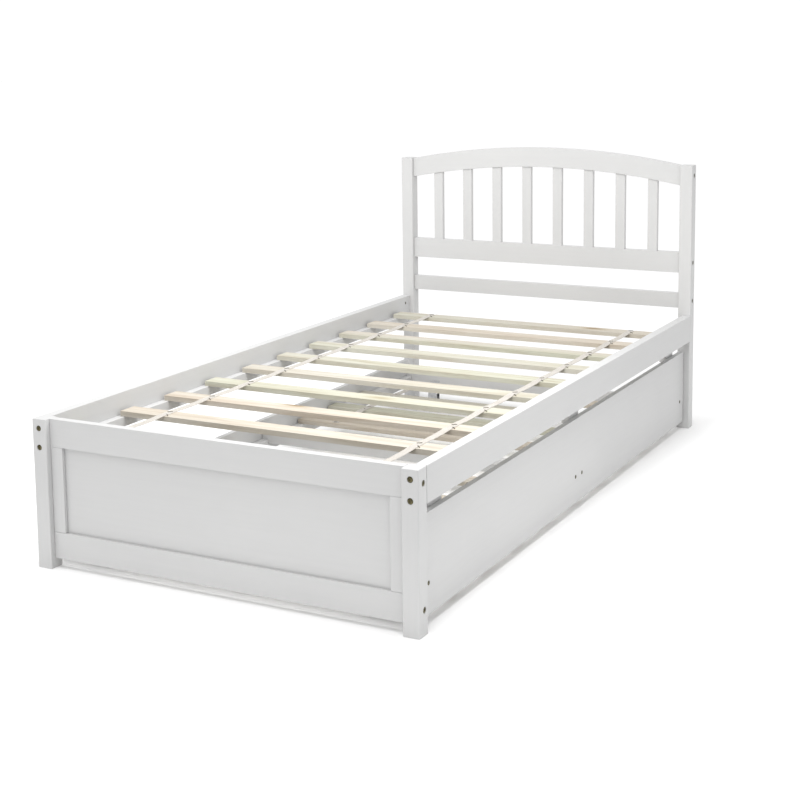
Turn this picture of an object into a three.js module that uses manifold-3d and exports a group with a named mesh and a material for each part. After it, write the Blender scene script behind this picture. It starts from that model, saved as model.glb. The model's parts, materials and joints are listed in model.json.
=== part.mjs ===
// A single bed with a slatted deck, an arched spindle headboard, a panelled footboard
// and a slatted trundle that rolls out from under one side. Units are millimetres.
//
// The origin is on the floor, at the centre of the bed's footprint. +Z is up, +Y points
// from the footboard to the headboard, and the trundle rolls out towards +X. "left" is
// the -X side and "right" is the +X side.
import * as THREE from 'three';
import { mergeVertices } from 'three/addons/utils/BufferGeometryUtils.js';
import Module from 'manifold-3d';

// Overall size
const overallWidth = 1060;
const overallLength = 2018;
const postSide = 42;
const postEdgeRadius = 3;
const postEdgeSegments = 3;
const footPostHeight = 378;
const headPostHeight = 872;
const archPeakHeight = 918;
const jointGap = 0.3; // hairline gap between two pieces that meet
const housedSlack = 1; // housed edge or tenon to the bottom of its groove or mortise
const overrun = 1; // how far a cutting shape starts outside the face it enters

// Footboard: a thin panel housed in the grooves of a rail-and-stile frame
const footRailThickness = 21;
const footRailSetback = 15; // post front face to rail front face
const footTopRailHeight = 70;
const footBottomRailHeight = 67;
const footBottomRailClearance = 25;
const stileWidth = 36;
const footPanelThickness = 6;
const footPanelSetback = 10; // rail front face to panel front face
const grooveDepth = 8;

// Headboard: three rails between two posts, with spindles housed in the upper two
const headRailThickness = 22;
const headRailSetback = 12;
const archEndTop = 871;
const archRailHeight = 66;
const middleRailBottom = 518;
const middleRailTop = 586;
const lowerRailBottom = 401;
const lowerRailTop = 450;
const spindleCount = 8;
const spindleWidth = 33;
const spindleThickness = 15;
const mortiseDepth = 15;
const archSegments = 10;
const archSag = 10; // more than the arched rail's lower edge falls across a spindle's width

// Side rails, their slat cleats, and the slats with the webbing that spaces them
const sideRailThickness = 28;
const sideRailBottom = 293;
const cleatWidth = 22;
const cleatHeight = 26.7;
const cleatEndClearance = 60; // keeps the barrel nuts by the posts in reach
const slatCount = 10;
const slatWidth = 56;
const slatThickness = 14;
const slatLength = 984;
const slatPitch = 191.5;
const firstSlatFromFoot = 104.5; // footboard front face to the first slat's front edge
const slatBottom = 320;
const webbingWidth = 21;
const webbingThickness = 1.5;
const webbingSeatDepth = 0.6; // shallow seat across each slat that keeps the webbing in line
const webbingOffset = 363; // bed centre line to webbing centre line
const webbingEndInset = 8;

// Bolted joints: a bolt through the post into a barrel nut in the rail
const boltHoleDiameter = 7;
const counterboreDiameter = 15;
const counterboreDepth = 3;
const boltReach = 50; // depth of the bolt hole in a rail's end
const barrelNutDiameter = 10;
const barrelNutFromEnd = 34;
const barrelNutSkin = 5; // material left behind a barrel nut hole
const sideRailBoltHeights = [307, 355];
const sideRailBoltFromOuter = 20; // rail outer face to the bolts' line
const holeSegments = 12;

// Trundle: a tall front panel on a low slatted frame
const trundleSetback = 19; // post outer face to front panel outer face
const trundleBoardThickness = 16;
const trundlePanelBottom = 24;
const trundlePanelTop = 260;
const trundlePanelLength = 1926;
const trundleFrameBottom = 50;
const trundleDeckTop = 108;
const trundleBackTop = 150;
const trundleEndThickness = 20;
const trundleEndInset = 34; // front panel end to the end board's middle
const crossRailWidth = 72;
const crossRailThickness = 26;
const ledgerWidth = 22;
const ledgerHeight = 26;
const trundleSlatsPerRoll = 4; // the same slats as the bed's, in each half of the trundle
const trundleSlatPitch = 188;

// Stops: blocks under the right side rail's cleat that the closed trundle's panel meets
const stopWidth = 70;
const stopThickness = 22;
const stopHeight = 45;
const stopFromMiddle = 859; // bed's middle to an end stop's middle

// Casters: a wheel on a pin in a folded steel bracket, screwed inside an end board
const casterFromCentre = 380;
const wheelRadius = 20;
const wheelWidth = 15;
const hubRadius = 7;
const hubWidth = 18;
const webHalfWidth = 3.5;
const rimInnerRadius = 14.5;
const axleDiameter = 6;
const axleHeadDiameter = 10;
const axleHeadThickness = 1.6;
const bracketSteel = 2;
const bracketLength = 34;
const bracketFlangeTop = 86;
const bracketBottom = 11;
const bracketCrown = 46;
const wheelSegments = 24;

const halfWidth = overallWidth / 2;
const halfLength = overallLength / 2;
const postInner = halfWidth - postSide;
const sideRailInner = halfWidth - sideRailThickness;
const sideBoltLine = halfWidth - sideRailBoltFromOuter;
const sides = { left: -1, right: 1 };

const whitePaint = { color: 0xe4e3e0, roughness: 0.42, metalness: 0 };
const palePine = { color: 0xddceb0, roughness: 0.65, metalness: 0 };
const webbing = { color: 0xdcd6cc, roughness: 0.9, metalness: 0 };
const zincSteel = { color: 0xb4b6b8, roughness: 0.35, metalness: 1 };
const greyPlastic = { color: 0x4a4c4e, roughness: 0.5, metalness: 0 };

const wasm = await Module();
wasm.setup();

function toSolid(geometry) {
  const bare = geometry.clone();
  bare.deleteAttribute('normal');
  bare.deleteAttribute('uv');
  const merged = mergeVertices(bare);
  const vertProperties = merged.attributes.position.array;
  const triVerts = Uint32Array.from(merged.index.array);
  return new wasm.Manifold(new wasm.Mesh({ numProp: 3, vertProperties, triVerts }));
}

function toGeometry(solid) {
  const { vertProperties, triVerts } = solid.getMesh();
  const geometry = new THREE.BufferGeometry();
  geometry.setAttribute('position', new THREE.BufferAttribute(vertProperties, 3));
  geometry.setIndex(new THREE.BufferAttribute(triVerts, 1));
  return geometry;
}

function cut(geometry, tools) {
  return toGeometry(tools.reduce((solid, tool) => solid.subtract(toSolid(tool)), toSolid(geometry)));
}

function join(geometries) {
  return toGeometry(geometries.map(toSolid).reduce((all, solid) => all.add(solid)));
}

// A block given by its span along each axis, in either order.
function block(x, y, z) {
  const geometry = new THREE.BoxGeometry(...[x, y, z].map(([a, b]) => Math.abs(b - a)));
  return geometry.translate(...[x, y, z].map(([a, b]) => (a + b) / 2));
}

// A round bar, or the hole it would leave, between two points.
function bar(from, to, diameter, segments = holeSegments) {
  const start = new THREE.Vector3(...from);
  const along = new THREE.Vector3(...to).sub(start);
  const geometry = new THREE.CylinderGeometry(diameter / 2, diameter / 2, along.length(), segments);
  const turn = new THREE.Quaternion().setFromUnitVectors(
    new THREE.Vector3(0, 1, 0), along.clone().normalize());
  return geometry.applyQuaternion(turn).translate(...start.addScaledVector(along, 0.5).toArray());
}

// Extrudes an outline along one axis. The outline is drawn in the other two, in x, y, z order.
const extrusionAxes = {
  x: [[0, 1, 0], [0, 0, 1], [1, 0, 0]],
  y: [[1, 0, 0], [0, 0, 1], [0, -1, 0]],
  z: [[1, 0, 0], [0, 1, 0], [0, 0, 1]],
};
function extrude(outline, axis, from, to, curveSegments = 1) {
  const settings = { depth: to - from, bevelEnabled: false, curveSegments };
  const geometry = new THREE.ExtrudeGeometry(outline, settings);
  const basis = extrusionAxes[axis].map((v) => new THREE.Vector3(...v));
  geometry.applyMatrix4(new THREE.Matrix4().makeBasis(...basis));
  const start = axis === 'y' ? to : from;
  return geometry.translate(...['x', 'y', 'z'].map((name) => (name === axis ? start : 0)));
}

// Positions of count things, pitch apart, centred on zero.
function evenly(count, pitch) {
  return Array.from({ length: count }, (_, i) => (i - (count - 1) / 2) * pitch);
}

function outlineOf(points) {
  return new THREE.Shape(points.map(([u, v]) => new THREE.Vector2(u, v)));
}

// The outline of a rectangle with rounded corners, given by its span along each axis.
function roundedOutline([a, b], [c, d], radius) {
  const [left, right] = [Math.min(a, b) + radius, Math.max(a, b) - radius];
  const [low, high] = [Math.min(c, d) + radius, Math.max(c, d) - radius];
  const quarter = Math.PI / 2;
  const outline = new THREE.Shape();
  outline.absarc(right, low, radius, -quarter, 0);
  outline.absarc(right, high, radius, 0, quarter);
  outline.absarc(left, high, radius, quarter, 2 * quarter);
  outline.absarc(left, low, radius, 2 * quarter, 3 * quarter);
  return outline;
}

// Adds a mesh whose own origin is at the middle of its shape.
function add(group, name, geometry, finish) {
  geometry.computeBoundingBox();
  const centre = geometry.boundingBox.getCenter(new THREE.Vector3());
  geometry.translate(-centre.x, -centre.y, -centre.z);
  const mesh = new THREE.Mesh(geometry, new THREE.MeshStandardMaterial({ ...finish, flatShading: true }));
  mesh.name = name;
  mesh.position.copy(centre);
  group.add(mesh);
}

// A square post with rounded upright edges, standing on the floor.
function post(x, y, height) {
  return extrude(roundedOutline(x, y, postEdgeRadius), 'z', 0, height, postEdgeSegments);
}

// The hole for a bolt through a post: a counterbore for its head, then a clear hole.
// from is on the post's outer face, and into points through the post.
function postHole(from, into) {
  const at = (depth) => from.map((value, i) => value + into[i] * depth);
  return [
    bar(at(-overrun), at(counterboreDepth), counterboreDiameter),
    bar(at(-overrun), at(postSide + overrun), boltHoleDiameter),
  ];
}

// The holes in a rail's end: one for the bolt, and a cross hole for its barrel nut.
// end is where the bolt enters the rail and inward points along the rail. The cross hole
// enters by the face that open points out of, which is cover away from the bolt's line.
function railHoles(end, inward, open, cover, thickness) {
  const at = (along, across) => end.map((v, i) => v + inward[i] * along + open[i] * across);
  const depth = thickness - cover - barrelNutSkin;
  return [
    bar(at(-overrun, 0), at(boltReach, 0), boltHoleDiameter),
    bar(at(barrelNutFromEnd, cover + overrun), at(barrelNutFromEnd, -depth), barrelNutDiameter),
  ];
}

// Rail holes at both ends of a rail that runs along X between the two posts.
function crossRailHoles(end, y, z, thickness) {
  return Object.values(sides).flatMap((side) =>
    railHoles([side * end, y, z], [-side, 0, 0], [0, 1, 0], thickness / 2, thickness));
}

// Footboard, in a group whose origin is on the floor at the posts' front faces.
function makeFootboard() {
  const group = new THREE.Group();
  group.position.y = -halfLength;

  const topRailBottom = footPostHeight - footTopRailHeight;
  const bottomRailTop = footBottomRailClearance + footBottomRailHeight;
  const front = footRailSetback;
  const back = front + footRailThickness;
  const middle = (front + back) / 2;
  const topRailMiddle = footPostHeight - footTopRailHeight / 2;
  const bottomRailMiddle = bottomRailTop - footBottomRailHeight / 2;
  const railEnd = postInner - jointGap;

  for (const [name, side] of Object.entries(sides)) {
    const upright = post([side * postInner, side * halfWidth], [0, postSide], footPostHeight);
    const railBolts = [topRailMiddle, bottomRailMiddle].flatMap((z) =>
      postHole([side * halfWidth, middle, z], [-side, 0, 0]));
    const sideBolts = sideRailBoltHeights.flatMap((z) =>
      postHole([side * sideBoltLine, 0, z], [0, 1, 0]));
    add(group, `footboard_post_${name}`, cut(upright, [...railBolts, ...sideBolts]), whitePaint);
  }

  // The panel's groove is cut into the inner edge of each rail and stile.
  const grooveFront = front + footPanelSetback - jointGap;
  const grooveBack = grooveFront + footPanelThickness + 2 * jointGap;
  const railOutline = (outer, inner) => {
    const bed = inner + Math.sign(outer - inner) * grooveDepth;
    return outlineOf([[front, outer], [front, inner], [grooveFront, inner], [grooveFront, bed],
      [grooveBack, bed], [grooveBack, inner], [back, inner], [back, outer]]);
  };
  const rails = {
    footboard_top_rail: [footPostHeight, topRailBottom, topRailMiddle],
    footboard_bottom_rail: [footBottomRailClearance, bottomRailTop, bottomRailMiddle],
  };
  for (const [name, [outer, inner, boltHeight]] of Object.entries(rails)) {
    const rail = extrude(railOutline(outer, inner), 'x', -railEnd, railEnd);
    const holes = crossRailHoles(railEnd, middle, boltHeight, footRailThickness);
    add(group, name, cut(rail, holes), whitePaint);
  }

  const stileInner = postInner - stileWidth;
  for (const [name, side] of Object.entries(sides)) {
    const bed = stileInner + grooveDepth;
    const outline = outlineOf([[railEnd, front], [stileInner, front], [stileInner, grooveFront],
      [bed, grooveFront], [bed, grooveBack], [stileInner, grooveBack], [stileInner, back],
      [railEnd, back]].map(([x, y]) => [side * x, y]));
    const stile = extrude(outline, 'z', bottomRailTop + jointGap, topRailBottom - jointGap);
    add(group, `footboard_stile_${name}`, stile, whitePaint);
  }

  const tongue = grooveDepth - housedSlack;
  const panelFront = front + footPanelSetback;
  const panel = block([-stileInner - tongue, stileInner + tongue],
    [panelFront, panelFront + footPanelThickness],
    [bottomRailTop - tongue, topRailBottom + tongue]);
  add(group, 'footboard_panel', panel, whitePaint);
  return group;
}

// Headboard, in a group whose origin is on the floor at the posts' front faces.
function makeHeadboard() {
  const group = new THREE.Group();
  group.position.y = halfLength - postSide;

  const front = headRailSetback;
  const back = front + headRailThickness;
  const middle = (front + back) / 2;
  const railEnd = postInner - jointGap;
  const railBoltHeights = [
    (lowerRailBottom + lowerRailTop) / 2,
    (middleRailBottom + middleRailTop) / 2,
    archEndTop - archRailHeight / 2,
  ];

  for (const [name, side] of Object.entries(sides)) {
    const upright = post([side * postInner, side * halfWidth], [0, postSide], headPostHeight);
    const railBolts = railBoltHeights.flatMap((z) =>
      postHole([side * halfWidth, middle, z], [-side, 0, 0]));
    const sideBolts = sideRailBoltHeights.flatMap((z) =>
      postHole([side * sideBoltLine, postSide, z], [0, -1, 0]));
    add(group, `headboard_post_${name}`, cut(upright, [...railBolts, ...sideBolts]), whitePaint);
  }

  // Both edges of the arched rail are arcs of one radius, the lower one a rail's height down.
  const rise = archPeakHeight - archEndTop;
  const archRadius = (postInner ** 2 + rise ** 2) / (2 * rise);
  const archCentre = archPeakHeight - archRadius;
  const archTopAt = (x) => archCentre + Math.sqrt(archRadius ** 2 - x ** 2);
  const halfAngle = Math.asin(railEnd / archRadius);
  const quarterTurn = Math.PI / 2;
  const archOutline = new THREE.Shape();
  archOutline.absarc(0, archCentre, archRadius, quarterTurn + halfAngle, quarterTurn - halfAngle, true);
  archOutline.absarc(0, archCentre - archRailHeight, archRadius,
    quarterTurn - halfAngle, quarterTurn + halfAngle, false);

  const spindleGap = (2 * postInner - spindleCount * spindleWidth) / (spindleCount + 1);
  const spindleCentres = evenly(spindleCount, spindleWidth + spindleGap);
  const spindleSpan = (x, slack) => [x - spindleWidth / 2 - slack, x + spindleWidth / 2 + slack];
  const spindleDepth = (slack) => [
    middle - spindleThickness / 2 - slack, middle + spindleThickness / 2 + slack];
  const archBottomAt = (x) => archTopAt(x) - archRailHeight;
  const spindleTopAt = (x) => archBottomAt(x) + mortiseDepth - housedSlack;
  const spindleBottom = middleRailTop - mortiseDepth + housedSlack;

  const archMortises = spindleCentres.map((x) => block(spindleSpan(x, jointGap),
    spindleDepth(jointGap), [archBottomAt(x) - archSag, archBottomAt(x) + mortiseDepth]));
  const arch = extrude(archOutline, 'y', front, back, archSegments);
  const archHoles = crossRailHoles(railEnd, middle, railBoltHeights[2], headRailThickness);
  add(group, 'headboard_arched_rail', cut(arch, [...archMortises, ...archHoles]), whitePaint);

  const railMortises = spindleCentres.map((x) => block(spindleSpan(x, jointGap),
    spindleDepth(jointGap), [middleRailTop - mortiseDepth, middleRailTop + overrun]));
  const middleRail = block([-railEnd, railEnd], [front, back], [middleRailBottom, middleRailTop]);
  const middleHoles = crossRailHoles(railEnd, middle, railBoltHeights[1], headRailThickness);
  add(group, 'headboard_middle_rail', cut(middleRail, [...railMortises, ...middleHoles]), whitePaint);

  const lowerRail = block([-railEnd, railEnd], [front, back], [lowerRailBottom, lowerRailTop]);
  const lowerHoles = crossRailHoles(railEnd, middle, railBoltHeights[0], headRailThickness);
  add(group, 'headboard_lower_rail', cut(lowerRail, lowerHoles), whitePaint);

  spindleCentres.forEach((x, i) => {
    const spindle = block(spindleSpan(x, 0), spindleDepth(0), [spindleBottom, spindleTopAt(x)]);
    add(group, `headboard_spindle_${i + 1}`, spindle, whitePaint);
  });
  return group;
}

// Side rails between the posts, each with a cleat along its inner face for the slats, and
// the trundle's stops under the right cleat.
function makeSides() {
  const group = new THREE.Group();
  const railEnd = halfLength - postSide - jointGap;
  const cleatEnd = railEnd - cleatEndClearance;
  for (const [name, side] of Object.entries(sides)) {
    const rail = block([side * sideRailInner, side * halfWidth], [-railEnd, railEnd],
      [sideRailBottom, footPostHeight]);
    const holes = sideRailBoltHeights.flatMap((z) => [-1, 1].flatMap((end) => railHoles(
      [side * sideBoltLine, end * railEnd, z], [0, -end, 0], [-side, 0, 0],
      sideRailThickness - sideRailBoltFromOuter, sideRailThickness)));
    add(group, `side_rail_${name}`, cut(rail, holes), whitePaint);

    const cleatOuter = sideRailInner - jointGap;
    const cleat = block([side * (cleatOuter - cleatWidth), side * cleatOuter], [-cleatEnd, cleatEnd],
      [sideRailBottom, sideRailBottom + cleatHeight]);
    add(group, `slat_cleat_${name}`, cleat, whitePaint);
  }

  // The stops hang from the right cleat, just behind the closed trundle's front panel.
  const stopFace = halfWidth - trundleSetback - trundleBoardThickness - jointGap;
  const stopTop = sideRailBottom - jointGap;
  const stopMiddles = { foot: -stopFromMiddle, middle: 0, head: stopFromMiddle };
  for (const [name, middle] of Object.entries(stopMiddles)) {
    const stop = block([stopFace - stopThickness, stopFace],
      [middle - stopWidth / 2, middle + stopWidth / 2], [stopTop - stopHeight, stopTop]);
    add(group, `trundle_stop_${name}`, stop, whitePaint);
  }
  return group;
}

// The bed's slats, lying on the cleats, and the two webbing strips stapled along their tops.
function makeSlatDeck() {
  const group = new THREE.Group();
  const slatTop = slatBottom + slatThickness;
  const firstEdge = firstSlatFromFoot - halfLength;
  const lastEdge = firstEdge + (slatCount - 1) * slatPitch + slatWidth;
  const seatWidth = webbingWidth + 2 * jointGap;
  for (let i = 0; i < slatCount; i += 1) {
    const edge = firstEdge + i * slatPitch;
    const slat = block([-slatLength / 2, slatLength / 2], [edge, edge + slatWidth], [slatBottom, slatTop]);
    const seats = Object.values(sides).map((side) => block(
      [side * webbingOffset - seatWidth / 2, side * webbingOffset + seatWidth / 2],
      [edge - overrun, edge + slatWidth + overrun], [slatTop - webbingSeatDepth, slatTop + overrun]));
    add(group, `bed_slat_${i + 1}`, cut(slat, seats), palePine);
  }
  for (const [name, side] of Object.entries(sides)) {
    const middle = side * webbingOffset;
    const bottom = slatTop - webbingSeatDepth + jointGap;
    const strip = block([middle - webbingWidth / 2, middle + webbingWidth / 2],
      [firstEdge + webbingEndInset, lastEdge - webbingEndInset], [bottom, bottom + webbingThickness]);
    add(group, `slat_webbing_${name}`, strip, webbing);
  }
  return group;
}

// The trundle's boards: a front panel, a back board, two end boards, a ledger under each end
// of the slats, and a cross rail at the middle that the ledgers are notched for.
function makeTrundleFrame() {
  const group = new THREE.Group();
  const panelOuter = halfWidth - trundleSetback;
  const boardInner = panelOuter - trundleBoardThickness;
  const halfPanel = trundlePanelLength / 2;
  const endMiddle = halfPanel - trundleEndInset;
  const endOuter = endMiddle + trundleEndThickness / 2;
  const endInner = endMiddle - trundleEndThickness / 2;
  const across = boardInner - jointGap;

  add(group, 'trundle_front_panel', block([boardInner, panelOuter], [-halfPanel, halfPanel],
    [trundlePanelBottom, trundlePanelTop]), whitePaint);
  add(group, 'trundle_back_board', block([-panelOuter, -boardInner], [-endOuter, endOuter],
    [trundleFrameBottom, trundleBackTop]), whitePaint);
  add(group, 'trundle_cross_rail', block([-across, across], [-crossRailWidth / 2, crossRailWidth / 2],
    [trundleDeckTop - crossRailThickness, trundleDeckTop]), whitePaint);

  const ledgerTop = trundleDeckTop - slatThickness - jointGap;
  const ledgerBottom = ledgerTop - ledgerHeight;
  const ledgerEnd = endInner - jointGap;
  const notchEnd = crossRailWidth / 2 + jointGap;
  const notchBottom = trundleDeckTop - crossRailThickness - jointGap;
  const ledgerOutline = outlineOf([[-ledgerEnd, ledgerBottom], [ledgerEnd, ledgerBottom],
    [ledgerEnd, ledgerTop], [notchEnd, ledgerTop], [notchEnd, notchBottom],
    [-notchEnd, notchBottom], [-notchEnd, ledgerTop], [-ledgerEnd, ledgerTop]]);
  for (const [edge, side] of [['front', 1], ['back', -1]]) {
    const [from, to] = [side * (across - ledgerWidth), side * across].sort((a, b) => a - b);
    add(group, `trundle_ledger_${edge}`, extrude(ledgerOutline, 'x', from, to), whitePaint);
  }
  for (const [end, sign] of [['foot', -1], ['head', 1]]) {
    add(group, `trundle_end_board_${end}`, block([-across, across], [sign * endInner, sign * endOuter],
      [trundleFrameBottom, trundleDeckTop]), whitePaint);
    add(group, `trundle_slat_roll_${end}`, slatRoll(sign * (notchEnd + ledgerEnd) / 2), palePine);
    for (const [edge, side] of [['front', 1], ['back', -1]]) {
      group.add(makeCaster(`${edge}_${end}`, side * casterFromCentre, sign, endInner));
    }
  }
  return group;
}

// Slats stapled to two webbing strips, which are laid out and lifted as one piece.
function slatRoll(middle) {
  const rows = evenly(trundleSlatsPerRoll, trundleSlatPitch).map((y) => y + middle);
  const slats = rows.map((y) => block([-slatLength / 2, slatLength / 2],
    [y - slatWidth / 2, y + slatWidth / 2], [trundleDeckTop - slatThickness, trundleDeckTop]));
  const reach = (trundleSlatPitch * (trundleSlatsPerRoll - 1) + slatWidth) / 2 - webbingEndInset;
  const strips = Object.values(sides).map((side) => {
    const x = side * webbingOffset;
    return block([x - webbingWidth / 2, x + webbingWidth / 2], [middle - reach, middle + reach],
      [trundleDeckTop - webbingThickness, trundleDeckTop + webbingThickness / 2]);
  });
  return join([...slats, ...strips]);
}

// A fixed caster under an end board. sign is the end it is at, -1 foot or +1 head, and
// endInner is how far the end board's inner face lies from the bed's middle.
function makeCaster(name, x, sign, endInner) {
  const group = new THREE.Group();
  group.position.set(x, sign * (endInner - jointGap), wheelRadius);

  // In the group, y runs from the screwed flange towards the bed's middle.
  const cheekGap = hubWidth + 2 * jointGap;
  const innerCheek = bracketSteel + cheekGap;
  const width = innerCheek + bracketSteel;
  const low = bracketBottom - wheelRadius;
  const crown = bracketCrown - wheelRadius;
  const top = bracketFlangeTop - wheelRadius;
  const toWorld = (y) => -sign * y;
  const outline = outlineOf([[0, low], [bracketSteel, low], [bracketSteel, crown - bracketSteel],
    [innerCheek, crown - bracketSteel], [innerCheek, low], [width, low], [width, crown],
    [bracketSteel, crown], [bracketSteel, top], [0, top]].map(([y, z]) => [toWorld(y), z]));
  const holeSize = axleDiameter + 2 * jointGap;
  const axleHole = bar([0, toWorld(-overrun), 0], [0, toWorld(width + overrun), 0], holeSize);
  const bracket = extrude(outline, 'x', -bracketLength / 2, bracketLength / 2);
  add(group, `caster_bracket_${name}`, cut(bracket, [axleHole]), zincSteel);

  const pinEnd = width + jointGap + axleHeadThickness;
  const pin = bar([0, toWorld(bracketSteel / 2), 0], [0, toWorld(pinEnd), 0], axleDiameter);
  const head = bar([0, toWorld(width + jointGap), 0], [0, toWorld(pinEnd), 0], axleHeadDiameter);
  add(group, `caster_axle_${name}`, join([pin, head]), zincSteel);

  const wheel = new THREE.LatheGeometry(wheelProfile(), wheelSegments);
  wheel.translate(0, toWorld(bracketSteel + cheekGap / 2), 0);
  add(group, `caster_wheel_${name}`, wheel, greyPlastic);
  return group;
}

// Half-section of a wheel as radius and distance along the axle, a closed ring.
function wheelProfile() {
  const bore = axleDiameter / 2 + jointGap;
  const hub = hubWidth / 2;
  const rim = wheelWidth / 2;
  const shoulder = 2;
  const upper = [[bore, hub], [hubRadius, hub], [hubRadius, webHalfWidth], [rimInnerRadius, webHalfWidth],
    [rimInnerRadius, rim], [wheelRadius - shoulder, rim], [wheelRadius, rim - shoulder]];
  const lower = upper.map(([radius, y]) => [radius, -y]).reverse();
  const ring = [...upper, ...lower];
  return [...ring, ring[0]].reverse().map(([radius, y]) => new THREE.Vector2(radius, y));
}

const bed = new THREE.Group();
bed.add(makeFootboard(), makeHeadboard(), makeSides(), makeSlatDeck(), makeTrundleFrame());

export default bed;
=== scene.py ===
"""A white single bed with pine slats and a trundle, finished around its CAD frame.

Everything is in metres in the frame of the CAD model: the origin is on the floor under the
middle of the bed, +X is the side the trundle rolls out of, and +Y is the headboard's end.
"""

import json
import math

import bmesh
import bpy
from mathutils import Matrix, Vector


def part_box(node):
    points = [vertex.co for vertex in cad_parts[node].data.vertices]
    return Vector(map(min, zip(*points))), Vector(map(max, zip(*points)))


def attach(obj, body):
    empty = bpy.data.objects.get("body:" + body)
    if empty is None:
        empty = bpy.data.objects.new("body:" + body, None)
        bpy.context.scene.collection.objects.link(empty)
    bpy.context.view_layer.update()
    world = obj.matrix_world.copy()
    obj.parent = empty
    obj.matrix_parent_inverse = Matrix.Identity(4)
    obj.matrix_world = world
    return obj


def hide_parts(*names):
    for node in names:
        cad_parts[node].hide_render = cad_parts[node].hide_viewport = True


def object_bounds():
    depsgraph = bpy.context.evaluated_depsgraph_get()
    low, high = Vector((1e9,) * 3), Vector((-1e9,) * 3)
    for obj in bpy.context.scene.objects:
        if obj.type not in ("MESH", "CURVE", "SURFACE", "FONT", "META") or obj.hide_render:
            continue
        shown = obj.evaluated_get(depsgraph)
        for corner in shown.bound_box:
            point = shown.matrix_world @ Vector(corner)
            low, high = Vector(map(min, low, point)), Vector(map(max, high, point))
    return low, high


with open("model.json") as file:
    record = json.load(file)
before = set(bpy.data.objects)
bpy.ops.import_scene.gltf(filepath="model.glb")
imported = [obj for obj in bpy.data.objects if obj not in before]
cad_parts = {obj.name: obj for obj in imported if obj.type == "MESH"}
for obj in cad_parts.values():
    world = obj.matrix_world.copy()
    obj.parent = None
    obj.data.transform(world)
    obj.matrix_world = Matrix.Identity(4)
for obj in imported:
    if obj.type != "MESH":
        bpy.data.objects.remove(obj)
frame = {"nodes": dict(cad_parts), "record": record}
cad_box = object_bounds()

NODES = frame["nodes"]
SIDES = {"left": -1, "right": 1}
ENDS = {"foot": -1, "head": 1}
EDGES = ("front", "back")
UP = Vector((0, 0, 1))

# Edges of the CAD pieces, and shading
WELD_DISTANCE = 0.00002
FLAT_ANGLE = math.radians(1)
SHARP_ANGLE = math.radians(35)
SMOOTH_ANGLE = math.radians(40)
BEVEL_SEGMENTS = 3
PAINTED_EASE = 0.0014
PINE_EASE = 0.0010
STEEL_EASE = 0.0004
TURNED_SEGMENTS = 48

# Bolted joints, as they are drilled in the frame, and how far each bolt is turned from the last
POST_SIDE = 0.042
JOINT_GAP = 0.0003
SIDE_BOLT_FROM_OUTER = 0.020
SIDE_BOLT_HEIGHTS = (0.355, 0.307)
FOOT_RAIL_BOLT_HEIGHTS = (0.343, 0.0585)
HEAD_RAIL_BOLT_HEIGHTS = (0.838, 0.552, 0.4255)
BARREL_NUT_FROM_END = 0.034
BOLT_HEAD_SINK = 0.0008
BOLT_SPIN_DEGREES = 37
HEXAGON_DEGREES = 60

# The slats and what holds them
SLAT_COUNT = 10
SLAT_WIDTH = 0.056
SLAT_THICKNESS = 0.014
WEBBING_WIDTH = 0.021
WEBBING_THICKNESS = 0.0015
WEBBING_SAG = 0.002
WEBBING_END_INSET = 0.008
WEBBING_GAP_STEPS = 8
WEBBING_OFFSETS = {"left": -0.363, "right": 0.363}
TRUNDLE_DECK_TOP = 0.108
TRUNDLE_SLAT_PITCH = 0.188
TRUNDLE_SLATS_PER_ROLL = 4
TRUNDLE_TAPE_BASE = TRUNDLE_DECK_TOP + 0.0001
STAPLE_LEG = 0.0030
STAPLE_WOBBLE_DEGREES = 4

# Screws through the trundle's front panel and back board
TRUNDLE_SCREW_RADIUS = 0.0055
TRUNDLE_SCREW_HEAD = 0.0009
TRUNDLE_SCREW_HEIGHT = 0.098
TRUNDLE_SCREW_OFFSETS = (-0.926, -0.024, 0.024, 0.926)
TRUNDLE_SCREW_SPIN_DEGREES = 31

# Casters
CASTER_PLATE = 0.002
CASTER_SCREW_RADIUS = 0.0034
CASTER_SCREW_HEAD = 0.0010
CASTER_SCREW_HEIGHT = 0.068
CASTER_SCREW_SHIFTS = (-0.010, 0.010)
CASTER_SCREW_SPIN_DEGREES = 25
WHEEL_SEGMENTS = 72

# The studio, with its lights in watts, and the sun in watts per square metre
FLOOR_HALF = 40.0
SURROUND_STRENGTH = 0.77
BACKDROP_STRENGTH = 1.1
SUN_PLACE = (0, -3, 6)
SUN_ENERGY = 1.0
SUN_ANGLE = math.radians(50)
SOFT_BOXES = (
    {"name": "over_bed", "place": (0.35, -0.5, 1.6), "aim": (-0.5, -0.4, 0.3),
     "width": 0.8, "length": 1.2, "energy": 19},
    {"name": "over_foot", "place": (-0.2, -0.9, 2.6), "aim": (0.0, 1.0, 0.6),
     "width": 1.2, "length": 1.2, "energy": 19},
)
CAMERA_PLACE = (1.9383, -3.773, 1.2817)
CAMERA_YAW = math.radians(27.607)
CAMERA_PITCH_DOWN = math.radians(8.124)
CAMERA_ROLL = math.radians(-0.685)
CAMERA_LENS_MM = 67.725
CAMERA_SENSOR_MM = 36
CAMERA_SHIFT_UP = -0.180


# Nodes and materials

def add_node(tree, kind, inputs=None, **settings):
    """Adds a node. An input is a plain value, or the output socket that feeds it."""
    node = tree.nodes.new(kind)
    for name, value in settings.items():
        setattr(node, name, value)
    for name, value in (inputs or {}).items():
        if isinstance(value, bpy.types.NodeSocket):
            tree.links.new(value, node.inputs[name])
        else:
            node.inputs[name].default_value = value
    return node


def new_material(name):
    """A new material with its node tree and its shader."""
    material = bpy.data.materials.new(name)
    material.use_nodes = True
    tree = material.node_tree
    return material, tree, tree.nodes["Principled BSDF"]


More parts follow.
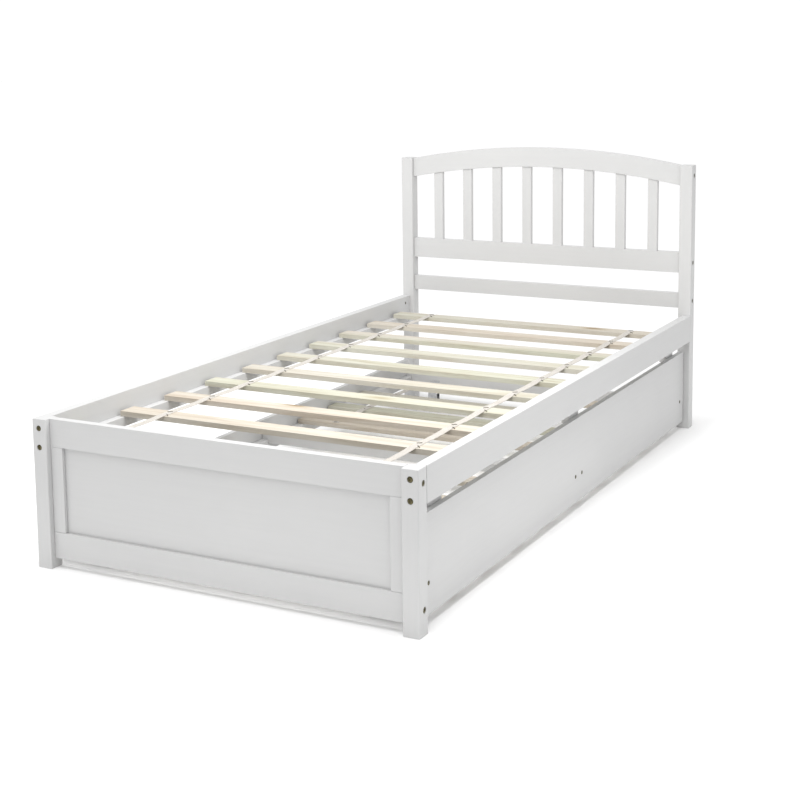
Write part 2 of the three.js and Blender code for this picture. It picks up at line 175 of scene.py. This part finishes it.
def object_coords(tree, scale=(1, 1, 1)):
    """The place on the object in metres, times scale."""
    place = add_node(tree, "ShaderNodeTexCoord")
    inputs = {"Vector": place.outputs["Object"], "Scale": scale}
    return add_node(tree, "ShaderNodeMapping", inputs).outputs["Vector"]


def along(axis, stretch):
    """A scale that draws a pattern out along one axis."""
    return tuple(1 / stretch if name == axis else 1 for name in "xyz")


def noise(tree, coords, scale, detail=2, roughness=0.5, distortion=0):
    """A noise pattern, its scale in cells per metre where the coordinates aren't stretched."""
    inputs = {"Vector": coords, "Scale": scale, "Detail": detail,
              "Roughness": roughness, "Distortion": distortion}
    return add_node(tree, "ShaderNodeTexNoise", inputs).outputs["Fac"]


def ramp(tree, factor, stops):
    """A colour for each factor, from (position, colour) stops."""
    node = add_node(tree, "ShaderNodeValToRGB", {"Fac": factor})
    elements = node.color_ramp.elements
    while len(elements) < len(stops):
        elements.new(0.5)
    for element, (position, colour) in zip(elements, stops):
        element.position = position
        element.color = (*colour, 1)
    return node.outputs["Color"]


def spread(tree, factor, low, high, start=0.3, end=0.7):
    """Maps the middle of a pattern's range to low..high."""
    inputs = {"Value": factor, "From Min": start, "From Max": end, "To Min": low, "To Max": high}
    return add_node(tree, "ShaderNodeMapRange", inputs).outputs["Result"]


def multiply(tree, colour, other):
    """Tints or darkens a colour by another."""
    node = add_node(tree, "ShaderNodeMix", data_type="RGBA", blend_type="MULTIPLY")
    node.inputs["Factor"].default_value = 1.0
    tree.links.new(colour, node.inputs["A"])
    tree.links.new(other, node.inputs["B"])
    return node.outputs["Result"]


def bump(tree, height, depth, normal=None):
    """A bump of the given depth in metres, over an earlier one if normal is given."""
    inputs = {"Height": height, "Distance": depth, "Strength": 1.0}
    if normal is not None:
        inputs["Normal"] = normal
    return add_node(tree, "ShaderNodeBump", inputs).outputs["Normal"]


def white_paint(axis):
    """Satin white paint over smooth wood, with very faint brush marks and grain along the board."""
    material, tree, shader = new_material(f"white_paint_{axis}")
    place = object_coords(tree)
    tone = noise(tree, place, scale=3.0, detail=3)
    colour = ramp(tree, tone, [(0.3, (0.538, 0.538, 0.537)), (0.7, (0.556, 0.556, 0.553))])
    drawn = object_coords(tree, along(axis, 30))
    grain = noise(tree, drawn, scale=120, detail=4, roughness=0.6)
    faint = ramp(tree, grain, [(0.35, (0.985, 0.985, 0.985)), (0.6, (1, 1, 1))])
    strokes = noise(tree, object_coords(tree, along(axis, 40)), scale=700)
    peel = noise(tree, place, scale=420, detail=1)
    under = bump(tree, grain, depth=0.00004)
    marks = bump(tree, strokes, depth=0.00002, normal=under)
    tree.links.new(multiply(tree, colour, faint), shader.inputs["Base Color"])
    tree.links.new(spread(tree, strokes, low=0.36, high=0.44), shader.inputs["Roughness"])
    tree.links.new(bump(tree, peel, depth=0.00003, normal=marks), shader.inputs["Normal"])
    return material


def pale_pine():
    """Planed, unfinished pine with streaked growth rings and a few small knots along X."""
    material, tree, shader = new_material("pale_pine")
    bent = object_coords(tree, along("x", 14))
    rings = noise(tree, bent, scale=55, detail=5, roughness=0.62, distortion=0.6)
    colour = ramp(tree, rings, [
        (0.30, (0.415, 0.370, 0.300)),
        (0.44, (0.475, 0.440, 0.372)),
        (0.56, (0.515, 0.490, 0.428)),
        (0.72, (0.555, 0.535, 0.480)),
    ])
    board = noise(tree, object_coords(tree, along("x", 20)), scale=6.5, detail=1)
    tint = ramp(tree, board, [
        (0.36, (0.93, 0.97, 0.90)), (0.50, (1.0, 1.0, 1.0)), (0.64, (1.0, 0.945, 0.915))])
    knots = add_node(tree, "ShaderNodeTexVoronoi", {
        "Vector": object_coords(tree, along("x", 3)), "Scale": 7.0, "Randomness": 1.0})
    knot = ramp(tree, knots.outputs["Distance"],
                [(0.03, (0.52, 0.40, 0.27)), (0.10, (0.93, 0.88, 0.80)), (0.16, (1, 1, 1))])
    fibres = noise(tree, object_coords(tree, along("x", 60)), scale=1500)
    base = multiply(tree, multiply(tree, colour, tint), knot)
    under = bump(tree, rings, depth=0.0002)
    tree.links.new(base, shader.inputs["Base Color"])
    tree.links.new(spread(tree, rings, low=0.70, high=0.58), shader.inputs["Roughness"])
    tree.links.new(bump(tree, fibres, depth=0.00012, normal=under), shader.inputs["Normal"])
    return material


def threads_across(tree, coords, direction, scale, distortion):
    """The wave of a row of threads that follow one another along direction."""
    inputs = {"Vector": coords, "Scale": scale, "Distortion": distortion,
              "Detail": 1.0, "Detail Scale": 2.0}
    settings = {"bands_direction": direction, "wave_profile": "SIN"}
    return add_node(tree, "ShaderNodeTexWave", inputs, **settings).outputs["Fac"]


def webbing_tape():
    """Off-white woven tape, with the ribs of its weft across it."""
    material, tree, shader = new_material("webbing_tape")
    place = object_coords(tree)
    weft = threads_across(tree, place, "Y", scale=260, distortion=0.6)
    warp = threads_across(tree, place, "X", scale=340, distortion=0.4)
    threads = ramp(tree, weft, [(0.1, (0.49, 0.455, 0.41)), (0.6, (0.61, 0.58, 0.535))])
    soil = noise(tree, place, scale=30, detail=3)
    shade = ramp(tree, soil, [(0.35, (0.94, 0.93, 0.91)), (0.65, (1, 1, 1))])
    ribs = bump(tree, weft, depth=0.0003)
    tree.links.new(multiply(tree, threads, shade), shader.inputs["Base Color"])
    tree.links.new(spread(tree, warp, low=0.8, high=0.95), shader.inputs["Roughness"])
    tree.links.new(bump(tree, warp, depth=0.0002, normal=ribs), shader.inputs["Normal"])
    shader.inputs["Sheen Weight"].default_value = 0.25
    return material


def plated_metal(name, dark, light, roughness):
    """Plated steel with a cloudy finish and fine drawing marks."""
    material, tree, shader = new_material(name)
    place = object_coords(tree)
    clouds = noise(tree, place, scale=90, detail=4, roughness=0.6)
    scratches = noise(tree, object_coords(tree, along("z", 20)), scale=2500)
    tree.links.new(ramp(tree, clouds, [(0.32, dark), (0.68, light)]), shader.inputs["Base Color"])
    dull = spread(tree, clouds, low=roughness + 0.08, high=roughness)
    tree.links.new(dull, shader.inputs["Roughness"])
    tree.links.new(bump(tree, scratches, depth=0.00003), shader.inputs["Normal"])
    shader.inputs["Metallic"].default_value = 1.0
    return material


def zinc_steel():
    """Bright zinc plating, on the casters."""
    return plated_metal(
        "zinc_steel", dark=(0.50, 0.51, 0.52), light=(0.66, 0.67, 0.68), roughness=0.30)


def bolt_bronze():
    """Dark bronze plating, on the bolts, nuts, board screws and staples. On the bed's slat staples
    its darkness is partly painted shadow.
    """
    return plated_metal(
        "bolt_bronze", dark=(0.045, 0.040, 0.024), light=(0.17, 0.15, 0.085), roughness=0.34)


def moulded_plastic():
    """Dark grey moulded plastic with a fine eroded texture."""
    material, tree, shader = new_material("moulded_plastic")
    place = object_coords(tree)
    grain = noise(tree, place, scale=1800)
    scuffs = noise(tree, place, scale=60, detail=4, roughness=0.7)
    colour = ramp(tree, scuffs, [(0.35, (0.040, 0.041, 0.044)), (0.7, (0.075, 0.076, 0.080))])
    tree.links.new(colour, shader.inputs["Base Color"])
    tree.links.new(spread(tree, scuffs, low=0.42, high=0.60), shader.inputs["Roughness"])
    tree.links.new(bump(tree, grain, depth=0.00008), shader.inputs["Normal"])
    return material


def studio_floor():
    """A seamless pale studio floor."""
    material, tree, shader = new_material("studio_floor")
    clouds = noise(tree, object_coords(tree), scale=0.8, detail=3)
    colour = ramp(tree, clouds, [(0.3, (0.965, 0.965, 0.965)), (0.7, (0.975, 0.975, 0.975))])
    tree.links.new(colour, shader.inputs["Base Color"])
    shader.inputs["Roughness"].default_value = 0.9
    shader.inputs["Specular IOR Level"].default_value = 0.1
    return material


# Shapes

def smooth_by_angle():
    """A modifier group that shades smoothly across every edge flatter than SMOOTH_ANGLE."""
    tree = bpy.data.node_groups.new("smooth_by_angle", "GeometryNodeTree")
    for way in ("INPUT", "OUTPUT"):
        tree.interface.new_socket("Geometry", in_out=way, socket_type="NodeSocketGeometry")
    start = add_node(tree, "NodeGroupInput")
    plain = add_node(tree, "GeometryNodeRemoveAttribute", {
        "Geometry": start.outputs[0], "Name": "custom_normal"})
    faces = add_node(tree, "GeometryNodeSetShadeSmooth", {
        "Geometry": plain.outputs[0], "Shade Smooth": True}, domain="FACE")
    edges = add_node(tree, "GeometryNodeSetShadeSmooth", {
        "Geometry": faces.outputs[0], "Shade Smooth": True}, domain="EDGE")
    angle = add_node(tree, "GeometryNodeInputMeshEdgeAngle")
    steep = add_node(tree, "FunctionNodeCompare", {
        "A": angle.outputs["Unsigned Angle"], "B": SMOOTH_ANGLE}, operation="GREATER_THAN")
    sharp = add_node(tree, "GeometryNodeSetShadeSmooth", {
        "Geometry": edges.outputs[0], "Selection": steep.outputs[0], "Shade Smooth": False},
        domain="EDGE")
    add_node(tree, "NodeGroupOutput", {"Geometry": sharp.outputs[0]})
    return tree


def ease_edges(piece, width, smoothing):
    """Rounds a CAD piece's edges without touching its mesh."""
    weld = piece.modifiers.new("weld", "WELD")
    weld.merge_threshold = WELD_DISTANCE
    flatten = piece.modifiers.new("flatten", "DECIMATE")
    flatten.decimate_type = "DISSOLVE"
    flatten.angle_limit = FLAT_ANGLE
    bevel = piece.modifiers.new("ease", "BEVEL")
    bevel.width = width
    bevel.segments = BEVEL_SEGMENTS
    bevel.limit_method = "ANGLE"
    bevel.angle_limit = SHARP_ANGLE
    smooth = piece.modifiers.new("smooth", "NODES")
    smooth.node_group = smoothing
    weighted = piece.modifiers.new("weighted", "WEIGHTED_NORMAL")
    weighted.keep_sharp = True


def finished_mesh(mesh, name, material):
    """Turns a bmesh into mesh data with a finish, smooth except at its sharp edges."""
    bmesh.ops.recalc_face_normals(mesh, faces=mesh.faces)
    data = bpy.data.meshes.new(name)
    mesh.to_mesh(data)
    mesh.free()
    data.shade_smooth()
    data.set_sharp_from_angle(angle=SHARP_ANGLE)
    data.materials.append(material)
    return data


def add_piece(data, name, body):
    """Adds a piece of mesh data, which several may share, riding on a body."""
    piece = bpy.data.objects.new(name, data)
    bpy.context.scene.collection.objects.link(piece)
    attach(piece, body)
    return piece


def piece_from(mesh, name, material, body):
    """Adds a piece that has a bmesh to itself."""
    return add_piece(finished_mesh(mesh, name, material), name, body)


def circle(radius):
    """The outline of a circle, as a radius at each angle."""
    return lambda angle: radius


def hexagon(across_flats):
    """The outline of a hexagon, as a radius at each angle."""
    sector = math.pi / 3
    return lambda angle: across_flats / 2 / math.cos(angle % sector - sector / 2)


def slot_outline(length, width):
    """The outline of a straight slot, as a radius at each angle."""
    def radius(angle):
        near_zero = 1e-6
        along_slot = length / 2 / max(abs(math.cos(angle)), near_zero)
        across_slot = width / 2 / max(abs(math.sin(angle)), near_zero)
        return min(along_slot, across_slot)
    return radius


def cross_outline(length, width):
    """The outline of a cross recess, as a radius at each angle."""
    arm = slot_outline(length, width)
    return lambda angle: max(arm(angle), arm(angle + math.pi / 2))


def skin(mesh, loops, closed=False):
    """Joins loops of vertices into a solid, which ends in caps or closes on itself."""
    following = loops[1:] + loops[:1] if closed else loops[1:]
    for here, there in zip(loops, following):
        for i in range(len(here)):
            j = (i + 1) % len(here)
            mesh.faces.new((here[i], here[j], there[j], there[i]))
    if not closed:
        mesh.faces.new(loops[0])
        mesh.faces.new(loops[-1])


def angles_around(segments):
    """Evenly spaced angles around a full turn."""
    return [2 * math.pi * i / segments for i in range(segments)]


def turned(rings):
    """A bmesh of stacked rings. Each ring is an outline and its height."""
    mesh = bmesh.new()
    skin(mesh, [
        [mesh.verts.new((outline(a) * math.cos(a), outline(a) * math.sin(a), height))
         for a in angles_around(TURNED_SEGMENTS)]
        for outline, height in rings])
    return mesh


def middle_y(node):
    """The middle of a CAD node along Y."""
    low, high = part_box(node)
    return (low.y + high.y) / 2


def point_outwards(piece, place, outwards, spin=0.0):
    """Puts a piece at place with its own +Z outwards, turned by spin about it."""
    turn = Vector(outwards).to_track_quat("Z", "Y").to_matrix().to_4x4()
    piece.matrix_world = Matrix.Translation(place) @ turn @ Matrix.Rotation(spin, 4, "Z")


# The frame's own pieces

GRAIN_AXES = {
    "footboard_post": "z", "headboard_post": "z", "footboard_stile": "z", "headboard_spindle": "z",
    "side_rail": "y", "slat_cleat": "y", "trundle_front_panel": "y", "trundle_back_board": "y",
    "trundle_ledger": "y", "trundle_stop": "y",
}


def grain_axis(name):
    """The axis a painted board's grain runs along."""
    for start, axis in GRAIN_AXES.items():
        if name.startswith(start):
            return axis
    return "x"


def dress_frame():
    """Finishes every CAD node and eases its edges. Returns the finishes the new pieces share."""
    smoothing = smooth_by_angle()
    paints = {axis: white_paint(axis) for axis in "xyz"}
    pine = pale_pine()
    zinc = zinc_steel()
    slots = {row["node"]: row["material_slot"] for row in frame["record"]["subparts"]}
    for name, node in NODES.items():
        slot = slots[name]
        if slot == "white_paint":
            finish, width = paints[grain_axis(name)], PAINTED_EASE
        elif slot == "pale_pine":
            finish, width = pine, PINE_EASE
        else:
            finish, width = zinc, STEEL_EASE
        node.material_slots[0].material = finish
        ease_edges(node, width, smoothing)
    return pine, zinc


# Fasteners

def bolt_places():
    """Every frame bolt: its name, its place on the post's face, and the way it points in."""
    rail_middle = {
        "foot": middle_y("footboard_top_rail"),
        "head": middle_y("headboard_middle_rail"),
    }
    rail_heights = {"foot": FOOT_RAIL_BOLT_HEIGHTS, "head": HEAD_RAIL_BOLT_HEIGHTS}
    low, high = cad_box
    end_face = {"foot": low.y, "head": high.y}
    for end, end_sign in ENDS.items():
        for side, sign in SIDES.items():
            outer = sign * high.x
            for i, z in enumerate(rail_heights[end], 1):
                into = Vector((-sign, 0, 0))
                yield f"{end}_{side}_side_{i}", Vector((outer, rail_middle[end], z)), into
            for i, z in enumerate(SIDE_BOLT_HEIGHTS, 1):
                x = outer - sign * SIDE_BOLT_FROM_OUTER
                into = Vector((0, -end_sign, 0))
                yield f"{end}_{side}_end_{i}", Vector((x, end_face[end], z)), into


def bolt_mesh():
    """A socket bolt along Z, with its domed head's face at z = 0 and its tip below."""
    shank, length, chamfer = 0.0029, 0.084, 0.0008
    head, height, ease = 0.0068, 0.0022, 0.0002
    socket, socket_mouth, socket_lead, socket_depth = 0.0050, 0.0034, 0.0003, 0.0017
    return turned([
        (circle(shank - chamfer), -length),
        (circle(shank), -length + chamfer),
        (circle(shank), -height),
        (circle(head - ease), -height),
        (circle(head), -height + ease),
        (circle(head), -0.0007),
        (circle(head - 0.0003), -0.0003),
        (circle(head - 0.0009), 0),
        (circle(socket_mouth), 0),
        (hexagon(socket), -socket_lead),
        (hexagon(socket - 0.0002), -socket_depth),
    ])


def barrel_nut_mesh():
    """A slotted barrel nut along Z, with its slot in its upper end."""
    radius, half, chamfer = 0.0048, 0.0070, 0.0005
    slot_length, slot_width, slot_depth = 0.0080, 0.0016, 0.0016
    return turned([
        (circle(radius - chamfer), -half),
        (circle(radius), -half + chamfer),
        (circle(radius), half - chamfer),
        (circle(radius - chamfer), half),
        (slot_outline(slot_length, slot_width), half),
        (slot_outline(slot_length, slot_width), half - slot_depth),
    ])


def make_bolts(bronze):
    """Socket bolts through the posts, and the barrel nuts they draw into the rails."""
    bolt = finished_mesh(bolt_mesh(), "frame_bolt", bronze)
    nut = finished_mesh(barrel_nut_mesh(), "barrel_nut", bronze)
    nut_depth = POST_SIDE + JOINT_GAP + BARREL_NUT_FROM_END
    for index, (name, face, into) in enumerate(bolt_places()):
        spin = math.radians(BOLT_SPIN_DEGREES * index % HEXAGON_DEGREES)
        screwed = add_piece(bolt, f"frame_bolt_{name}", "bed_frame")
        point_outwards(screwed, face + into * BOLT_HEAD_SINK, -into, spin)
        drawn = add_piece(nut, f"barrel_nut_{name}", "bed_frame")
        opens = Vector((0, 1, 0)) if into.x else Vector((-math.copysign(1, face.x), 0, 0))
        point_outwards(drawn, face + into * nut_depth, opens, spin)


def screw_mesh(radius, height):
    """A screw's low domed head, with a cross recess, standing on z = 0."""
    root_depth, recess_depth = 0.0015, 0.0008
    return turned([
        (circle(radius * 0.55), -root_depth),
        (circle(radius * 0.97), 0),
        (circle(radius), height * 0.25),
        (circle(radius * 0.82), height * 0.75),
        (circle(radius * 0.60), height),
        (cross_outline(radius * 1.05, radius * 0.26), height),
        (cross_outline(radius * 0.80, radius * 0.20), -recess_depth),
    ])


def make_board_screws(bronze):
    """Screws through the trundle's front panel and back board into what they hold."""
    head = screw_mesh(TRUNDLE_SCREW_RADIUS, TRUNDLE_SCREW_HEAD)
    screw = finished_mesh(head, "trundle_screw", bronze)
    index = 0
    for board, side in (("front_panel", 1), ("back_board", -1)):
        low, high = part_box(f"trundle_{board}")
        outer = high.x if side > 0 else low.x
        for number, y in enumerate(TRUNDLE_SCREW_OFFSETS, 1):
            name = f"trundle_{board}_screw_{number}"
            here = add_piece(screw, name, "trundle")
            spin = math.radians(TRUNDLE_SCREW_SPIN_DEGREES * index)
            point_outwards(here, (outer, y, TRUNDLE_SCREW_HEIGHT), (side, 0, 0), spin)
            index += 1


def make_caster_screws(zinc):
    """The two screws that hold each caster's plate to the trundle's end board."""
    head = screw_mesh(CASTER_SCREW_RADIUS, CASTER_SCREW_HEAD)
    screw = finished_mesh(head, "caster_screw", zinc)
    for end, end_sign in ENDS.items():
        for edge in EDGES:
            low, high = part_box(f"caster_bracket_{edge}_{end}")
            outer = high.y if end_sign > 0 else low.y
            y = outer - end_sign * CASTER_PLATE
            for number, shift in enumerate(CASTER_SCREW_SHIFTS, 1):
                name = f"caster_screw_{edge}_{end}_{number}"
                here = add_piece(screw, name, "trundle")
                place = ((low.x + high.x) / 2 + shift, y, CASTER_SCREW_HEIGHT)
                spin = math.radians(CASTER_SCREW_SPIN_DEGREES * number)
                point_outwards(here, place, (0, -end_sign, 0), spin)


# Webbing and staples

def add_board(mesh, low, high, eased):
    """Adds a board between two corners to a bmesh, with its edges eased."""
    verts = bmesh.ops.create_cube(mesh, size=1)["verts"]
    middle, size = (low + high) / 2, high - low
    for vert in verts:
        vert.co = middle + vert.co * size
    edges = list({edge for vert in verts for edge in vert.link_edges})
    bmesh.ops.bevel(mesh, geom=edges, offset=eased, segments=2, profile=0.5, affect="EDGES")


def webbing_height(y, slats, top):
    """How high the tape's underside is at y: level over a slat, hanging a little between two."""
    for (_, end), (start, _) in zip(slats, slats[1:]):
        if end < y < start:
            share = (y - end) / (start - end)
            return top - WEBBING_SAG * 4 * share * (1 - share)
    return top


def webbing_stations(slats, first, last):
    """Places along the tape: a few on each slat and more in each gap."""
    near_edge = 0.002
    stations = [first, last]
    for start, end in slats:
        on_slat = (start, start + near_edge, end - near_edge, end)
        stations += [y for y in on_slat if first < y < last]
    for (_, end), (start, _) in zip(slats, slats[1:]):
        step = (start - end) / WEBBING_GAP_STEPS
        stations += [end + step * i for i in range(1, WEBBING_GAP_STEPS)]
    return sorted(set(stations))


def add_tape(mesh, middle, slats, base):
    """Adds a strip of tape to a bmesh, lying on a row of slats and centred on x = middle."""
    low, high, edge = middle - WEBBING_WIDTH / 2, middle + WEBBING_WIDTH / 2, 0.0005
    top = WEBBING_THICKNESS
    outline = [
        (low + edge, 0), (high - edge, 0), (high, edge), (high, top - edge),
        (high - edge, top), (low + edge, top), (low, top - edge), (low, edge),
    ]
    first, last = slats[0][0] + WEBBING_END_INSET, slats[-1][1] - WEBBING_END_INSET
    rings = []
    for y in webbing_stations(slats, first, last):
        height = webbing_height(y, slats, base)
        rings.append([mesh.verts.new((x, y, height + z)) for x, z in outline])
    skin(mesh, rings)


def make_bed_webbing(tape):
    """The two strips of tape along the bed's slats, which hang slightly between them."""
    boxes = [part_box(f"bed_slat_{i}") for i in range(1, SLAT_COUNT + 1)]
    slats = [(low.y, high.y) for low, high in boxes]
    for side, middle in WEBBING_OFFSETS.items():
        node = f"slat_webbing_{side}"
        mesh = bmesh.new()
        add_tape(mesh, middle, slats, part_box(node)[0].z)
        strip = piece_from(mesh, f"webbing_tape_{side}", tape, "bed_frame")
        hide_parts(node)


def trundle_rows(end):
    """Where each slat of one of the trundle's rolls starts and ends."""
    middle = middle_y(f"trundle_slat_roll_{end}")
    first = middle - (TRUNDLE_SLATS_PER_ROLL - 1) / 2 * TRUNDLE_SLAT_PITCH
    centres = [first + i * TRUNDLE_SLAT_PITCH for i in range(TRUNDLE_SLATS_PER_ROLL)]
    return [(y - SLAT_WIDTH / 2, y + SLAT_WIDTH / 2) for y in centres]


def make_trundle_deck(pine, tape):
    """The trundle's two rolls of slats, each with its two strips of tape."""
    for end in ENDS:
        node = f"trundle_slat_roll_{end}"
        low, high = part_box(node)
        rows = trundle_rows(end)
        bottom = TRUNDLE_DECK_TOP - SLAT_THICKNESS
        boards = bmesh.new()
        for start, stop in rows:
            corner = Vector((low.x, start, bottom))
            add_board(boards, corner, Vector((high.x, stop, TRUNDLE_DECK_TOP)), PINE_EASE)
        slats = piece_from(boards, f"trundle_slats_{end}", pine, "trundle")
        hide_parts(node)
        for side, middle in WEBBING_OFFSETS.items():
            mesh = bmesh.new()
            add_tape(mesh, middle, rows, TRUNDLE_TAPE_BASE)
            piece_from(mesh, f"trundle_tape_{end}_{side}", tape, "trundle")


def add_staple(mesh, centre, degrees, width, wire):
    """Adds a wire staple, its crown turned by degrees from X and its legs going down."""
    lean = math.radians(degrees)
    across = Vector((math.cos(lean), math.sin(lean), 0))
    aside = UP.cross(across) * wire / 2
    half, ease = width / 2, wire * 0.3
    profile = [(-half, -STAPLE_LEG), (-half, wire - ease), (-half + ease, wire),
               (half - ease, wire), (half, wire - ease), (half, -STAPLE_LEG),
               (half - wire, -STAPLE_LEG), (half - wire, 0),
               (-half + wire, 0), (-half + wire, -STAPLE_LEG)]
    skin(mesh, [
        [mesh.verts.new(Vector(centre) + across * u + UP * v + aside * side) for u, v in profile]
        for side in (-1, 1)])


def make_bed_staples(bronze):
    """On each slat, a staple over each strip's right edge and one through its middle. The staple by
    the edge is large and dark, partly a real staple and partly painted shadow of the tape on the
    slat's front edge.
    """
    beyond_edge, from_foot, from_head = 0.002, 0.012, 0.014
    mesh = bmesh.new()
    tape_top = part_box("slat_webbing_left")[1].z
    for number in range(1, SLAT_COUNT + 1):
        low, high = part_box(f"bed_slat_{number}")
        uneven = STAPLE_WOBBLE_DEGREES * math.sin(5 * number)
        for x in WEBBING_OFFSETS.values():
            beside = x + WEBBING_WIDTH / 2 + beyond_edge
            over_edge_staple_and_shadow = (beside, low.y + from_foot, high.z + WEBBING_THICKNESS)
            through = (x, high.y - from_head, tape_top)
            # The large dark staple over the tape's edge is partly painted shadow: it stands for the
            # shadow the tape casts on the slat's front edge.
            for place, degrees in ((over_edge_staple_and_shadow, -42), (through, 35)):
                add_staple(mesh, place, degrees + uneven, width=0.014, wire=0.0013)
    piece_from(mesh, "bed_slat_staples", bronze, "bed_frame")


def make_trundle_staples(bronze):
    """Two staples through each strip of tape into each of the trundle's slats."""
    inset, top = 0.013, TRUNDLE_TAPE_BASE + WEBBING_THICKNESS
    for end in ENDS:
        mesh = bmesh.new()
        for i, (start, stop) in enumerate(trundle_rows(end)):
            for x in WEBBING_OFFSETS.values():
                for j, y in enumerate((start + inset, stop - inset)):
                    degrees = -38 if (i + j) % 2 else 33
                    add_staple(mesh, (x, y, top), degrees, width=0.0105, wire=0.0009)
        piece_from(mesh, f"trundle_slat_staples_{end}", bronze, "trundle")


# Casters

def wheel_mesh():
    """A moulded wheel about Z, with a rounded tread, a dished web and a hub."""
    bore, hub, rim, tread = 0.0033, 0.0070, 0.0145, 0.0200
    hub_half, web_half, rim_half = 0.0090, 0.0035, 0.0075
    upper = [
        (bore, hub_half), (hub - 0.0008, hub_half), (hub, hub_half - 0.0008),
        (hub + 0.0006, web_half + 0.0006), (hub + 0.0014, web_half), (rim - 0.0012, web_half),
        (rim - 0.0003, web_half + 0.0009), (rim, rim_half - 0.0005), (rim + 0.0006, rim_half),
        (tread - 0.0026, rim_half), (tread - 0.0014, rim_half - 0.0004),
        (tread - 0.0004, rim_half - 0.0014), (tread, rim_half - 0.0030),
    ]
    section = upper + [(radius, -z) for radius, z in reversed(upper)]
    mesh = bmesh.new()
    skin(mesh, [
        [mesh.verts.new((radius * math.cos(a), radius * math.sin(a), z)) for radius, z in section]
        for a in angles_around(WHEEL_SEGMENTS)], closed=True)
    return mesh


def make_wheels(plastic):
    """Finer wheels in place of the plain ones."""
    wheel = finished_mesh(wheel_mesh(), "moulded_wheel", plastic)
    for end in ENDS:
        for edge in EDGES:
            node = f"caster_wheel_{edge}_{end}"
            low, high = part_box(node)
            body = f"wheel_{edge}_{end}"
            here = add_piece(wheel, f"{body}_moulded", body)
            point_outwards(here, (low + high) / 2, (0, 1, 0))
            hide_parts(node)


# The studio

def make_floor():
    """A wide pale floor under the bed."""
    mesh = bmesh.new()
    half = FLOOR_HALF
    corners = [(-half, -half), (half, -half), (half, half), (-half, half)]
    mesh.faces.new([mesh.verts.new((x, y, 0)) for x, y in corners])
    data = bpy.data.meshes.new("floor")
    mesh.to_mesh(data)
    mesh.free()
    data.materials.append(studio_floor())
    floor = bpy.data.objects.new("floor", data)
    bpy.context.scene.collection.objects.link(floor)


def place_light(data, place, aim):
    """Puts a light at place, shining at aim and unseen by the camera."""
    light = bpy.data.objects.new(data.name, data)
    turn = (Vector(aim) - Vector(place)).to_track_quat("-Z", "Y").to_matrix().to_4x4()
    light.matrix_world = Matrix.Translation(place) @ turn
    light.visible_camera = False
    bpy.context.scene.collection.objects.link(light)


def make_surround():
    """A white surround, brighter where the camera sees it than where it lights the bed."""
    world = bpy.data.worlds.new("studio")
    world.use_nodes = True
    tree = world.node_tree
    lighting = tree.nodes["Background"]
    lighting.inputs["Color"].default_value = (1, 1, 1, 1)
    lighting.inputs["Strength"].default_value = SURROUND_STRENGTH
    seen = add_node(tree, "ShaderNodeBackground", {
        "Color": (1, 1, 1, 1), "Strength": BACKDROP_STRENGTH})
    path = add_node(tree, "ShaderNodeLightPath")
    mix = add_node(tree, "ShaderNodeMixShader", {"Fac": path.outputs["Is Camera Ray"]})
    tree.links.new(lighting.outputs[0], mix.inputs[1])
    tree.links.new(seen.outputs[0], mix.inputs[2])
    tree.links.new(mix.outputs[0], tree.nodes["World Output"].inputs["Surface"])
    bpy.context.scene.world = world


def make_lights():
    """A soft light from above the foot, and two soft boxes over the bed."""
    sun = bpy.data.lights.new("front", "SUN")
    sun.energy = SUN_ENERGY
    sun.angle = SUN_ANGLE
    place_light(sun, SUN_PLACE, (0, 0, 0))
    for box in SOFT_BOXES:
        light = bpy.data.lights.new(box["name"], "AREA")
        light.shape = "RECTANGLE"
        light.size = box["width"]
        light.size_y = box["length"]
        light.energy = box["energy"]
        place_light(light, box["place"], box["aim"])


def make_camera():
    """The camera, off the foot's right corner at chest height and looking slightly down."""
    data = bpy.data.cameras.new("camera")
    data.sensor_width = CAMERA_SENSOR_MM
    data.lens = CAMERA_LENS_MM
    data.shift_y = CAMERA_SHIFT_UP
    camera = bpy.data.objects.new("camera", data)
    turn = (
        Matrix.Rotation(CAMERA_YAW, 4, "Z")
        @ Matrix.Rotation(math.pi / 2 - CAMERA_PITCH_DOWN, 4, "X")
        @ Matrix.Rotation(CAMERA_ROLL, 4, "Z")
    )
    camera.matrix_world = Matrix.Translation(CAMERA_PLACE) @ turn
    bpy.context.scene.collection.objects.link(camera)
    bpy.context.scene.camera = camera


pine_finish, zinc_finish = dress_frame()
tape_finish = webbing_tape()
bronze_finish = bolt_bronze()
make_bolts(bronze_finish)
make_board_screws(bronze_finish)
make_caster_screws(zinc_finish)
make_bed_webbing(tape_finish)
make_trundle_deck(pine_finish, tape_finish)
make_bed_staples(bronze_finish)
make_trundle_staples(bronze_finish)
make_wheels(moulded_plastic())
make_floor()
make_surround()
make_lights()
make_camera()
bpy.context.scene.view_settings.view_transform = "Standard"
